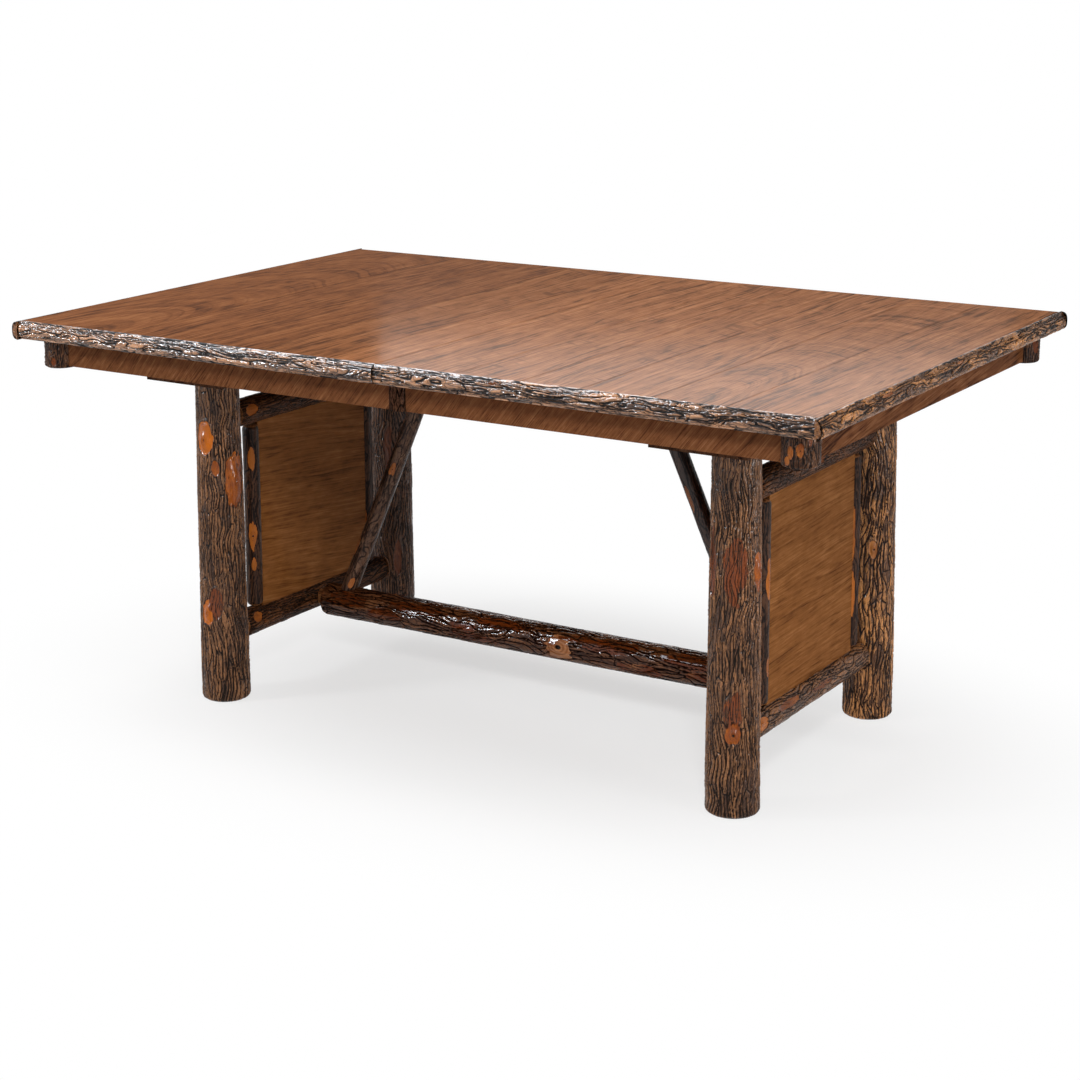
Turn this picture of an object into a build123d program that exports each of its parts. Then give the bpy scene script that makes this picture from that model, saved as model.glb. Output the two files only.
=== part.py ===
"""Rustic hickory extension table: a plank top split across the middle, on a fixed trestle base.

Millimetres. X runs along the table, Y across it, Z up, with the origin on the floor under the
middle of the top. The two halves of the top are made alike and turned half a turn from each other.
"""

import math
import os

from build123d import *

# Whole table
table_length = 1651
table_width = 1092
table_height = 762

# Top: boards laid across the table, listed from the split outwards; the end board takes the rest
board_thickness = 30
board_edge_break = 0.8
left_board_widths = (98, 154, 154, 154)
right_board_widths = (163, 124, 114, 129, 129)
split_gap = 0.6

# Bark-on trim round the edge of the top
trim_height = 35
trim_depth = 13

# Aprons, corner posts and the blocks that cover the ends of two aprons at the split
apron_setback = 52
apron_thickness = 22
apron_height = 56
post_radius = 32
post_drop = 4
post_round = 4
apron_tenon_gap = 14
block_width = 34
block_depth = 10

# Dowels that line the two halves up
dowel_radius = 5
dowel_depth = 20
dowel_spacing = 280
dowel_count = 4
dowel_clearance = 0.08
glue_clearance = 0.02

# Trestles
trestle_setback = 272
foot_radius = 49
leg_top_radius = 43.5
foot_round = 8
crossbar_radius = 28
crossbar_round = 9
lower_crossbar_z = 131
upper_crossbar_drop = 89
shoulder_gap = 0.3
tenon_radius = 14
tenon_length = 32
tenon_clearance = 0.05
panel_thickness = 19
panel_groove = 8
stile_radius = 16.5
stile_round = 11
stile_end_gap = 0.4
stile_inset = 97
stile_groove = 7

# Plates across the leg tops, and the frame that they carry
plate_thickness = 27
plate_outboard = 75
plate_inboard = 105
plate_setback = 75
plate_overhang = 114
bearer_width = 90
lap_length = 40

# Slides: a fixed rail with a tongue on each face, and a grooved runner on each side of it
slide_height = 60
slide_travel = 305
rail_thickness = 30
rail_top_gap = 0.8
tongue_height = 12
tongue_depth = 8
slide_clearance = 0.5
runner_thickness = 22
runner_overlap = 100
runner_floor_gap = 0.8

# Equalizer: a pinion on the bearer between two racks, one on each half
gear_module = 4
pinion_teeth = 16
pressure_angle = 20
tooth_addendum = 3.4
tooth_dedendum = 4.6
flank_backlash = 0.15
flank_steps = 7
tooth_root_bite = 0.5
pinion_thickness = 16
pinion_lift = 4
hub_radius = 12
hub_gap = 0.4
pin_radius = 5
pin_clearance = 0.05
pin_head_radius = 10
pin_head_height = 4
pin_head_chamfer = 1
pin_head_gap = 0.4
pin_depth = 22
rack_back = 16
rack_height = 18
rack_margin = 24
rack_fixing_length = 250

# Stretcher and braces
stretcher_radius = 33.5
stretcher_round = 5
stretcher_neck = 13
stretcher_neck_radius = 22
stretcher_tenon_radius = 16
stretcher_tenon_past_axis = 12
brace_radius = 17
brace_foot_inset = 96
brace_head_x = 246
brace_trim = 60
cope_clearance = 0.15

# Screws that hold the plates to the legs and the slide rails to the plates
screw_radius = 4
screw_length = 60
screw_head_radius = 9
screw_head_height = 5
screw_clearance = 0.05

# Heights and lines worked out from the sizes above
underside = table_height - board_thickness
plate_top = underside - slide_height
leg_height = plate_top - plate_thickness
upper_crossbar_z = leg_height - upper_crossbar_drop
trim_line_x = table_length / 2 - trim_depth
trim_line_y = table_width / 2 - trim_depth
half_split = split_gap / 2
leg_x = table_length / 2 - trestle_setback
apron_face_x = table_length / 2 - apron_setback
apron_face_y = table_width / 2 - apron_setback
apron_line_x = apron_face_x - apron_thickness / 2
apron_line_y = apron_face_y - apron_thickness / 2
apron_bottom = underside - apron_height
plate_inner_x = leg_x - plate_inboard
plate_outer_x = leg_x + plate_outboard
plate_end_y = apron_face_y - apron_thickness - plate_setback
leg_y = plate_end_y - plate_overhang
rail_face_y = plate_end_y - runner_thickness - slide_clearance
rail_line_y = rail_face_y - rail_thickness / 2
rail_top = underside - rail_top_gap
tongue_z = plate_top + slide_height / 2
stile_y = leg_y - stile_inset
panel_half_width = stile_y - stile_radius + stile_groove
pitch_radius = gear_module * pinion_teeth / 2
rack_pitch = math.pi * gear_module
rack_root_y = pitch_radius + tooth_dedendum
rack_bottom = plate_top + pinion_lift - (rack_height - pinion_thickness) / 2
stretcher_z = lower_crossbar_z

os.makedirs("parts", exist_ok=True)


def save(piece, label):
    """Label a finished piece and write it to its own STEP file."""
    piece.part.label = label
    export_step(piece.part, f"parts/{label}.step")


def half_plane(turn, height):
    """A horizontal plane of one half: x runs outwards from the split (turn is 1 right, -1 left)."""
    return Plane(origin=(0, 0, height), x_dir=(turn, 0, 0), z_dir=(0, 0, 1))


def leg_radius_at(height):
    """The radius of a tapered leg at a height above the floor."""
    return foot_radius + (leg_top_radius - foot_radius) * height / leg_height


def box_cut(plane, center, width, depth, height):
    """Cut a rectangular pocket: a centred rectangle on the plane, carried up by the height."""
    with BuildSketch(plane) as pocket:
        with Locations(center):
            Rectangle(width, depth)
    extrude(pocket.sketch, amount=height, mode=Mode.SUBTRACT)


def half_round(plane, width, depth, length):
    """A half-round strip: flat back on the plane's x axis, bulging along y, carried along z."""
    with BuildSketch(plane) as section:
        Ellipse(width / 2, depth)
        with Locations((0, -depth)):
            Rectangle(width, 2 * depth, mode=Mode.SUBTRACT)
    extrude(section.sketch, amount=length)


# Top boards. The first board of each half carries the dowel holes in its split edge.
def dowel_spots():
    """Centres of the dowels along the split."""
    middle = (dowel_count - 1) / 2
    return [((number - middle) * dowel_spacing, 0) for number in range(dowel_count)]


def board(label, turn, start, end, hole_radius):
    """One board across the table, from start to end outwards of the split."""
    with BuildPart() as piece:
        with BuildSketch(half_plane(turn, underside)):
            with Locations(((start + end) / 2, 0)):
                Rectangle(end - start, 2 * trim_line_y)
        extrude(amount=board_thickness)
        chamfer(piece.edges().filter_by(Axis.Y).group_by(Axis.Z)[-1], board_edge_break)
        if hole_radius:
            split_face = Plane(
                origin=(turn * start, 0, underside + board_thickness / 2),
                x_dir=(0, 1, 0),
                z_dir=(turn, 0, 0),
            )
            with BuildSketch(split_face):
                with Locations(dowel_spots()):
                    Circle(hole_radius)
            extrude(amount=dowel_depth + dowel_clearance, mode=Mode.SUBTRACT)
    save(piece, label)


for side, turn, widths, hole_radius in (
    ("left", -1, left_board_widths, dowel_radius + glue_clearance),
    ("right", 1, right_board_widths, dowel_radius + dowel_clearance),
):
    joints_x = [half_split]
    for width in widths:
        joints_x.append(joints_x[-1] + width)
    joints_x.append(trim_line_x)
    for number, (start, end) in enumerate(zip(joints_x, joints_x[1:]), 1):
        board(f"{side}_board_{number}", turn, start, end, hole_radius if number == 1 else 0)

with BuildPart() as alignment_dowels:
    with BuildSketch(Plane.YZ.offset(-half_split - dowel_depth)):
        with Locations([(y, underside + board_thickness / 2) for y, _ in dowel_spots()]):
            Circle(dowel_radius)
    extrude(amount=2 * dowel_depth + split_gap)
save(alignment_dowels, "alignment_dowels")


# Bark trim. The end trims run through, and the front and back trims butt against them.
for side, turn in (("left", -1), ("right", 1)):
    trim_middle = table_height - trim_height / 2
    for edge, edge_sign in (("front", -1), ("back", 1)):
        with BuildPart() as trim:
            section = Plane(
                origin=(turn * half_split, edge_sign * trim_line_y, trim_middle),
                x_dir=(0, 0, -turn * edge_sign),
                z_dir=(turn, 0, 0),
            )
            half_round(section, trim_height, trim_depth, trim_line_x - half_split)
        save(trim, f"{side}_{edge}_trim")
    with BuildPart() as end_trim:
        section = Plane(
            origin=(turn * trim_line_x, -table_width / 2, trim_middle),
            x_dir=(0, 0, turn),
            z_dir=(0, 1, 0),
        )
        half_round(section, trim_height, trim_depth, table_width)
    save(end_trim, f"{side}_end_trim")


# Aprons under the top, housed in the corner posts.
apron_end_x = apron_line_x - apron_tenon_gap
apron_end_y = apron_line_y - apron_tenon_gap
for side, turn in (("left", -1), ("right", 1)):
    for edge, edge_sign in (("front", -1), ("back", 1)):
        with BuildPart() as apron:
            with BuildSketch(Plane.XY.offset(apron_bottom)):
                with Locations((turn * (half_split + apron_end_x) / 2, edge_sign * apron_line_y)):
                    Rectangle(apron_end_x - half_split, apron_thickness)
            extrude(amount=apron_height)
        save(apron, f"{side}_{edge}_apron")

        with BuildPart() as corner_post:
            with BuildSketch(Plane.XY.offset(apron_bottom - post_drop)):
                with Locations((turn * apron_line_x, edge_sign * apron_line_y)):
                    Circle(post_radius)
            extrude(amount=apron_height + post_drop)
            fillet(corner_post.edges().group_by(Axis.Z)[0], post_round)
            housing = post_radius - apron_tenon_gap
            along = (turn * (apron_end_x - housing / 2), edge_sign * apron_line_y)
            across = (turn * apron_line_x, edge_sign * (apron_end_y - housing / 2))
            seat = Plane.XY.offset(apron_bottom)
            box_cut(seat, along, housing, apron_thickness, apron_height)
            box_cut(seat, across, apron_thickness, housing, apron_height)
        save(corner_post, f"{side}_{edge}_corner_post")

    with BuildPart() as end_apron:
        with BuildSketch(Plane.XY.offset(apron_bottom)):
            with Locations((turn * apron_line_x, 0)):
                Rectangle(apron_thickness, 2 * apron_end_y)
        extrude(amount=apron_height)
    save(end_apron, f"{side}_end_apron")

    with BuildPart() as joint_block:
        block_line = Plane(
            origin=(turn * (half_split + block_width / 2), -turn * apron_face_y, apron_bottom),
            x_dir=(-turn, 0, 0),
            z_dir=(0, 0, 1),
        )
        half_round(block_line, block_width, block_depth, apron_height)
    save(joint_block, f"{side}_joint_block")


# Runners: each half has one outside the rail on one edge and one inside it on the other.
runner_out_y = rail_face_y + slide_clearance + runner_thickness / 2
runner_in_y = rail_face_y - rail_thickness - slide_clearance - runner_thickness / 2
runner_end_x = apron_face_x - apron_thickness
runner_bottom = plate_top + runner_floor_gap
groove_height = tongue_height + 2 * slide_clearance
for side, turn in (("left", -1), ("right", 1)):
    with BuildPart() as runners:
        for line_y in (-runner_out_y, runner_in_y):
            with BuildSketch(half_plane(turn, runner_bottom)):
                with Locations(((runner_end_x - runner_overlap) / 2, line_y)):
                    Rectangle(runner_end_x + runner_overlap, runner_thickness)
            extrude(amount=rail_top - runner_bottom)
            with BuildSketch(half_plane(turn, rail_top)):
                with Locations(((runner_end_x + half_split) / 2, line_y)):
                    Rectangle(runner_end_x - half_split, runner_thickness)
            extrude(amount=underside - rail_top)
            groove_y = line_y + (runner_thickness - tongue_depth - slide_clearance) / 2
            box_cut(
                half_plane(turn, tongue_z - groove_height / 2),
                ((runner_end_x - runner_overlap) / 2, groove_y),
                runner_end_x + runner_overlap,
                tongue_depth + slide_clearance,
                groove_height,
            )
    save(runners, f"{side}_runners")


# Slide rails, notched over the plates.
for edge, edge_sign in (("front", -1), ("back", 1)):
    with BuildPart() as slide_rail:
        with BuildSketch(Plane.XY.offset(leg_height)):
            with Locations((0, edge_sign * rail_line_y)):
                Rectangle(2 * plate_inner_x, rail_thickness)
        extrude(amount=plate_thickness)
        with BuildSketch(Plane.XY.offset(plate_top)):
            with Locations((0, edge_sign * rail_line_y)):
                Rectangle(2 * plate_outer_x, rail_thickness)
        extrude(amount=rail_top - plate_top)
        with BuildSketch(Plane.XY.offset(tongue_z - tongue_height / 2)):
            with Locations((0, edge_sign * rail_line_y)):
                Rectangle(2 * plate_outer_x, rail_thickness + 2 * tongue_depth)
        extrude(amount=tongue_height)
        with BuildSketch(Plane.XY.offset(leg_height)):
            with Locations([(x_sign * leg_x, edge_sign * rail_line_y) for x_sign in (-1, 1)]):
                Circle(screw_radius + screw_clearance)
        extrude(amount=screw_length + screw_clearance, mode=Mode.SUBTRACT)
    save(slide_rail, f"{edge}_slide_rail")


# Plates across the leg tops, with a lap for the bearer.
for side, turn in (("left", -1), ("right", 1)):
    with BuildPart() as top_plate:
        with BuildSketch(half_plane(turn, leg_height)):
            with Locations(((plate_inner_x + plate_outer_x) / 2, 0)):
                Rectangle(plate_outer_x - plate_inner_x, 2 * plate_end_y)
        extrude(amount=plate_thickness)
        box_cut(
            half_plane(turn, leg_height + plate_thickness / 2),
            (plate_inner_x + lap_length / 2, 0),
            lap_length,
            bearer_width,
            plate_thickness / 2,
        )
        with Locations([(turn * leg_x, y_sign * leg_y, plate_top) for y_sign in (-1, 1)]):
            CounterBoreHole(
                screw_radius + screw_clearance,
                screw_head_radius + screw_clearance,
                screw_head_height,
            )
        under_face = Plane(origin=(0, 0, leg_height), x_dir=(1, 0, 0), z_dir=(0, 0, -1))
        with Locations(under_face):
            with Locations([(turn * leg_x, y_sign * rail_line_y) for y_sign in (-1, 1)]):
                CounterBoreHole(
                    screw_radius + screw_clearance,
                    screw_head_radius + screw_clearance,
                    screw_head_height,
                )
    save(top_plate, f"{side}_top_plate")


# Bearer between the plates, which the braces meet and the pinion turns on.
with BuildPart() as centre_bearer:
    with BuildSketch(Plane.XY.offset(leg_height)):
        Rectangle(2 * plate_inner_x, bearer_width)
    extrude(amount=plate_thickness)
    with BuildSketch(Plane.XY.offset(leg_height + plate_thickness / 2)):
        Rectangle(2 * (plate_inner_x + lap_length), bearer_width)
    extrude(amount=plate_thickness / 2)
    with Locations((0, 0, plate_top)):
        Hole(pin_radius + pin_clearance, depth=pin_depth + pin_clearance)
save(centre_bearer, "centre_bearer")


# Pinion with involute teeth, and the pin that it turns on.
def involute(base_radius, radius):
    """Polar angle that an involute of the base circle has swept where it reaches a radius."""
    roll = math.sqrt(max(radius / base_radius, 1) ** 2 - 1)
    return roll - math.atan(roll)


def tooth_outline():
    """One pinion tooth about the x axis, from the root circle out to the tip and back."""
    root_radius = pitch_radius - tooth_dedendum
    tip_radius = pitch_radius + tooth_addendum
    base_radius = pitch_radius * math.cos(math.radians(pressure_angle))
    half_angle = math.pi / (2 * pinion_teeth) - flank_backlash / pitch_radius
    half_angle += involute(base_radius, pitch_radius)
    flank = [(root_radius - tooth_root_bite, half_angle)]
    for step in range(flank_steps + 1):
        radius = base_radius + (tip_radius - base_radius) * step / flank_steps
        flank.append((radius, half_angle - involute(base_radius, radius)))
    lower = [(r * math.cos(a), -r * math.sin(a)) for r, a in flank]
    upper = [(r * math.cos(a), r * math.sin(a)) for r, a in reversed(flank)]
    return lower + upper


pinion_bottom = plate_top + pinion_lift
with BuildPart() as equalizer_pinion:
    with BuildSketch(Plane.XY.offset(pinion_bottom)):
        Circle(pitch_radius - tooth_dedendum)
        with PolarLocations(0, pinion_teeth):
            Polygon(*tooth_outline(), align=None)
    extrude(amount=pinion_thickness)
    with BuildSketch(Plane.XY.offset(plate_top + hub_gap)):
        Circle(hub_radius)
    extrude(amount=pinion_lift - hub_gap)
    with Locations((0, 0, pinion_bottom + pinion_thickness)):
        Hole(pin_radius + pin_clearance)
save(equalizer_pinion, "equalizer_pinion")

with BuildPart() as pinion_pin:
    with BuildSketch(Plane.XY.offset(plate_top - pin_depth)):
        Circle(pin_radius)
    extrude(amount=pin_depth + pinion_lift + pinion_thickness + pin_head_gap)
    with BuildSketch(Plane.XY.offset(pinion_bottom + pinion_thickness + pin_head_gap)):
        Circle(pin_head_radius)
    extrude(amount=pin_head_height)
    chamfer(pinion_pin.edges().group_by(Axis.Z)[-1], pin_head_chamfer)
save(pinion_pin, "pinion_pin")


# Rack bars: each reaches past the pinion by the travel, and hangs from its half by a cleat.
def rack_outline(first_x, last_x):
    """Toothed edge of a rack in its half's plane, with a gap between teeth at x = 0."""
    slope = math.tan(math.radians(pressure_angle))
    half_pitch_width = rack_pitch / 4 - flank_backlash
    root = half_pitch_width + tooth_dedendum * slope
    tip = half_pitch_width - tooth_addendum * slope
    tip_y = -(pitch_radius - tooth_addendum)
    outline = [(first_x, -rack_root_y)]
    number = math.ceil((first_x + root) / rack_pitch - 0.5)
    while (number + 0.5) * rack_pitch + root < last_x:
        middle = (number + 0.5) * rack_pitch
        outline += [(middle - root, -rack_root_y), (middle - tip, tip_y)]
        outline += [(middle + tip, tip_y), (middle + root, -rack_root_y)]
        number += 1
    return outline + [(last_x, -rack_root_y), (last_x, -rack_root_y - rack_back)]


for side, turn in (("left", -1), ("right", 1)):
    with BuildPart() as rack_bar:
        with BuildSketch(half_plane(turn, rack_bottom)):
            inner_x = -slide_travel - rack_margin
            Polygon(*rack_outline(inner_x, rack_margin), (inner_x, -rack_root_y - rack_back), align=None)
            with Locations(((rack_margin + rack_fixing_length) / 2, -rack_root_y - rack_back / 2)):
                Rectangle(rack_fixing_length - rack_margin, rack_back)
        extrude(amount=rack_height)
        with BuildSketch(half_plane(turn, rack_bottom + rack_height)):
            with Locations(((half_split + rack_fixing_length) / 2, -rack_root_y - rack_back / 2)):
                Rectangle(rack_fixing_length - half_split, rack_back)
        extrude(amount=underside - rack_bottom - rack_height)
    save(rack_bar, f"{side}_rack_bar")


# Legs: tapered logs with blind mortises for the crossbars and a pilot hole for the plate screw.
def leg(label, x, y):
    """One leg; its mortises face the middle of the trestle."""
    with BuildPart() as piece:
        with Locations((x, y, 0)):
            Cone(foot_radius, leg_top_radius, leg_height, align=(Align.CENTER, Align.CENTER, Align.MIN))
        fillet(piece.edges().group_by(Axis.Z)[0], foot_round)
        inward = -1 if y > 0 else 1
        for bar_z in (lower_crossbar_z, upper_crossbar_z):
            depth = tenon_length + tenon_clearance
            mortise_end = y + inward * (leg_radius_at(bar_z) - depth)
            mortise = Plane(origin=(x, mortise_end, bar_z), x_dir=(1, 0, 0), z_dir=(0, inward, 0))
            with BuildSketch(mortise):
                Circle(tenon_radius + tenon_clearance)
            extrude(amount=depth + tenon_radius, mode=Mode.SUBTRACT)
        pilot_depth = screw_length + screw_head_height - plate_thickness + screw_clearance
        with Locations((x, y, leg_height)):
            Hole(screw_radius + screw_clearance, depth=pilot_depth)
    save(piece, label)


for side, turn in (("left", -1), ("right", 1)):
    leg(f"{side}_front_leg", turn * leg_x, -leg_y)
    leg(f"{side}_back_leg", turn * leg_x, leg_y)


# Crossbars, grooved for the panel; the lower ones also hold the stretcher's tenons.
def crossbar(label, turn, height, groove_side):
    """A log between two legs: groove_side is 1 with the groove on top and -1 underneath."""
    leg_radius = max(leg_radius_at(height - crossbar_radius), leg_radius_at(height + crossbar_radius))
    shoulder_y = leg_y - leg_radius - shoulder_gap
    tenon_end_y = leg_y - leg_radius_at(height) + tenon_length
    middle = Plane(origin=(turn * leg_x, 0, height), x_dir=(1, 0, 0), z_dir=(0, 1, 0))
    with BuildPart() as piece:
        with BuildSketch(middle):
            Circle(crossbar_radius)
        extrude(amount=shoulder_y, both=True)
        fillet(piece.edges().filter_by(GeomType.CIRCLE), crossbar_round)
        with BuildSketch(middle):
            Circle(tenon_radius)
        extrude(amount=tenon_end_y, both=True)
        groove_top = height + groove_side * crossbar_radius
        groove_bottom = min(groove_top, groove_top - groove_side * panel_groove)
        box_cut(
            half_plane(turn, groove_bottom),
            (leg_x, 0),
            panel_thickness,
            2 * panel_half_width,
            panel_groove,
        )
        if groove_side > 0:
            mortise_end = turn * (leg_x + stretcher_tenon_past_axis + tenon_clearance)
            mortise = Plane(origin=(mortise_end, 0, stretcher_z), x_dir=(0, 1, 0), z_dir=(-turn, 0, 0))
            with BuildSketch(mortise):
                Circle(stretcher_tenon_radius + tenon_clearance)
            extrude(amount=2 * crossbar_radius, mode=Mode.SUBTRACT)
    save(piece, label)


for side, turn in (("left", -1), ("right", 1)):
    crossbar(f"{side}_lower_crossbar", turn, lower_crossbar_z, 1)
    crossbar(f"{side}_upper_crossbar", turn, upper_crossbar_z, -1)


# End panels, and the stiles that cover their edges.
panel_bottom = lower_crossbar_z + crossbar_radius - panel_groove
panel_top = upper_crossbar_z - crossbar_radius + panel_groove
stile_bottom = lower_crossbar_z + crossbar_radius + stile_end_gap
stile_top = upper_crossbar_z - crossbar_radius - stile_end_gap
for side, turn in (("left", -1), ("right", 1)):
    with BuildPart() as end_panel:
        with BuildSketch(Plane.XY.offset(panel_bottom)):
            with Locations((turn * leg_x, 0)):
                Rectangle(panel_thickness, 2 * panel_half_width)
        extrude(amount=panel_top - panel_bottom)
    save(end_panel, f"{side}_end_panel")

    for edge, edge_sign in (("front", -1), ("back", 1)):
        with BuildPart() as stile:
            foot = Plane(
                origin=(turn * leg_x, edge_sign * stile_y, stile_bottom),
                x_dir=(edge_sign, 0, 0),
                z_dir=(0, 0, 1),
            )
            with BuildSketch(foot):
                Circle(stile_radius)
            extrude(amount=stile_top - stile_bottom)
            fillet(stile.edges().filter_by(GeomType.CIRCLE), stile_round)
            box_cut(
                foot,
                (0, stile_groove - 2 * stile_radius),
                panel_thickness,
                2 * stile_radius,
                stile_top - stile_bottom,
            )
        save(stile, f"{side}_{edge}_stile")


# Stretcher: a log with a tapered neck and a round tenon at each end.
shoulder_x = leg_x - crossbar_radius - stretcher_neck
with BuildPart() as stretcher:
    across_middle = Plane(origin=(0, 0, stretcher_z), x_dir=(0, 1, 0), z_dir=(1, 0, 0))
    with BuildSketch(across_middle):
        Circle(stretcher_radius)
    extrude(amount=shoulder_x, both=True)
    fillet(stretcher.edges().filter_by(GeomType.CIRCLE), stretcher_round)
    for turn in (-1, 1):
        shoulder = Plane(origin=(turn * shoulder_x, 0, stretcher_z), x_dir=(0, 1, 0), z_dir=(turn, 0, 0))
        with BuildSketch(shoulder):
            Circle(stretcher_neck_radius)
        with BuildSketch(shoulder.offset(stretcher_neck)):
            Circle(stretcher_tenon_radius)
        loft()
        with BuildSketch(shoulder.offset(stretcher_neck)):
            Circle(stretcher_tenon_radius)
        extrude(amount=crossbar_radius + stretcher_tenon_past_axis)
save(stretcher, "stretcher")


# Braces from the stretcher up to the bearer, coped over the stretcher and cut flat at the top.
for side, turn in (("left", -1), ("right", 1)):
    foot = Vector(turn * (leg_x - brace_foot_inset), 0, stretcher_z + stretcher_radius)
    head = Vector(turn * brace_head_x, 0, leg_height)
    run = head - foot
    with BuildPart() as brace:
        with BuildSketch(Plane(origin=foot, x_dir=(0, 1, 0), z_dir=run).offset(-brace_trim)):
            Circle(brace_radius)
        extrude(amount=run.length + 2 * brace_trim)
        with BuildSketch(across_middle):
            Circle(stretcher_radius + cope_clearance)
        extrude(amount=shoulder_x, both=True, mode=Mode.SUBTRACT)
        split(bisect_by=Plane.XY.offset(leg_height), keep=Keep.BOTTOM)
        split(bisect_by=Plane.XY.offset(stretcher_z), keep=Keep.TOP)
    save(brace, f"{side}_brace")


# Lag screws: down through the plates into the legs, and up through them into the rails.
screw_seats = []
for x_sign in (-1, 1):
    for y_sign in (-1, 1):
        screw_seats.append(((x_sign * leg_x, y_sign * leg_y, plate_top), -1))
        screw_seats.append(((x_sign * leg_x, y_sign * rail_line_y, leg_height), 1))
with BuildPart() as frame_screws:
    for origin, point_z in screw_seats:
        head_plane = Plane(origin=origin, x_dir=(1, 0, 0), z_dir=(0, 0, point_z))
        with BuildSketch(head_plane):
            Circle(screw_head_radius)
        extrude(amount=screw_head_height)
        with BuildSketch(head_plane.offset(screw_head_height)):
            Circle(screw_radius)
        extrude(amount=screw_length - screw_head_height)
save(frame_screws, "frame_screws")
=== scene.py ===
"""Rustic hickory extension table, dressed: bark-on logs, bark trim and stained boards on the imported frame.

Metres. X runs along the table, Y across it towards the back, Z up from the floor.
"""

import math

import bpy
import numpy as np
from mathutils import Euler, Matrix, Vector


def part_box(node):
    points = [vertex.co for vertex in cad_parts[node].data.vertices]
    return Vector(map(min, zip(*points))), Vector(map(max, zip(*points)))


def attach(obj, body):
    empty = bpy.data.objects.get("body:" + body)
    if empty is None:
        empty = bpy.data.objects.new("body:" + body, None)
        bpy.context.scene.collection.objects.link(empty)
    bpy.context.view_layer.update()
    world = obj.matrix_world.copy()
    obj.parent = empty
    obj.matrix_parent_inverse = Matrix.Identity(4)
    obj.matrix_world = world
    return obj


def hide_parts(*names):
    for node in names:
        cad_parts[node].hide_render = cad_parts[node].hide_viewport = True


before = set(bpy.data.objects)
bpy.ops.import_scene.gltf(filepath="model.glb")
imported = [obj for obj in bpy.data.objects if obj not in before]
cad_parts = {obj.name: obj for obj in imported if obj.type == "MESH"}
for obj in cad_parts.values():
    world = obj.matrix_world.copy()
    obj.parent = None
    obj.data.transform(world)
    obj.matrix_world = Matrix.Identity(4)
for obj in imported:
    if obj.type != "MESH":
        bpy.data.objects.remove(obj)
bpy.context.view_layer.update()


# Legs: four hickory logs with the bark left on, sawn square and slightly rounded at the floor.
# Where a branch or a flake of bark came away, the smooth orange wood under it shows, and the
# whole log is varnished. They stand on the floor and the top plates are screwed down on them.
noise_rows = 512


def smooth(value):
    """The ease curve 3v^2 - 2v^3 of a value held between 0 and 1."""
    value = np.clip(value, 0, 1)
    return value * value * (3 - 2 * value)


def drift(x, y, columns, seed):
    """Soft noise from 0 to 1: a random number on each whole (x, y), eased between them; x wraps."""
    table = np.random.default_rng(seed).random((noise_rows, columns))
    column, row = np.floor(x).astype(int), np.floor(y).astype(int)
    ease_x, ease_y = smooth(x - column), smooth(y - row)
    left, right = column % columns, (column + 1) % columns
    low, high = row % noise_rows, (row + 1) % noise_rows
    near = table[low, left] * (1 - ease_x) + table[low, right] * ease_x
    far = table[high, left] * (1 - ease_x) + table[high, right] * ease_x
    return near * (1 - ease_y) + far * ease_y


def plates(x, y, columns, seed):
    """Cracked plates: each point of a jittered grid owns the ground nearest to it.

    Returns the distance to the second nearest point less that to the nearest, which is 0 on a
    crack, and a random number for the plate."""
    jitter_x, jitter_y, number = np.random.default_rng(seed).random((3, noise_rows, columns))
    column, row = np.floor(x).astype(int), np.floor(y).astype(int)
    nearest = np.full(x.shape, np.inf)
    second = np.full(x.shape, np.inf)
    owner = np.zeros(x.shape)
    for step_y in (-1, 0, 1):
        for step_x in (-1, 0, 1):
            cell = ((row + step_y) % noise_rows, (column + step_x) % columns)
            away_x = column + step_x + jitter_x[cell] - x
            away_y = row + step_y + jitter_y[cell] - y
            away = np.hypot(away_x, away_y)
            owner = np.where(away < nearest, number[cell], owner)
            second = np.minimum(second, np.maximum(nearest, away))
            nearest = np.minimum(nearest, away)
    return second - nearest, owner


def steepness(values, spacing, along):
    """How fast values change a metre, on rows of points that are spacing apart round the log.

    Of the steps to the point before and to the point after, the larger counts, so that the foot
    of a V is as steep as its sides."""
    ahead = np.abs(np.roll(values, -1, 1) - values)
    beside = np.maximum(ahead, np.roll(ahead, 1, 1)) / spacing
    rows = np.abs(np.diff(values, axis=0))
    beyond = np.maximum(np.concatenate([rows, rows[-1:]]), np.concatenate([rows[:1], rows]))
    beyond = beyond / np.maximum(np.gradient(along, axis=0), 1e-4)
    return np.maximum(np.hypot(beside, beyond), 1e-6)


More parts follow.
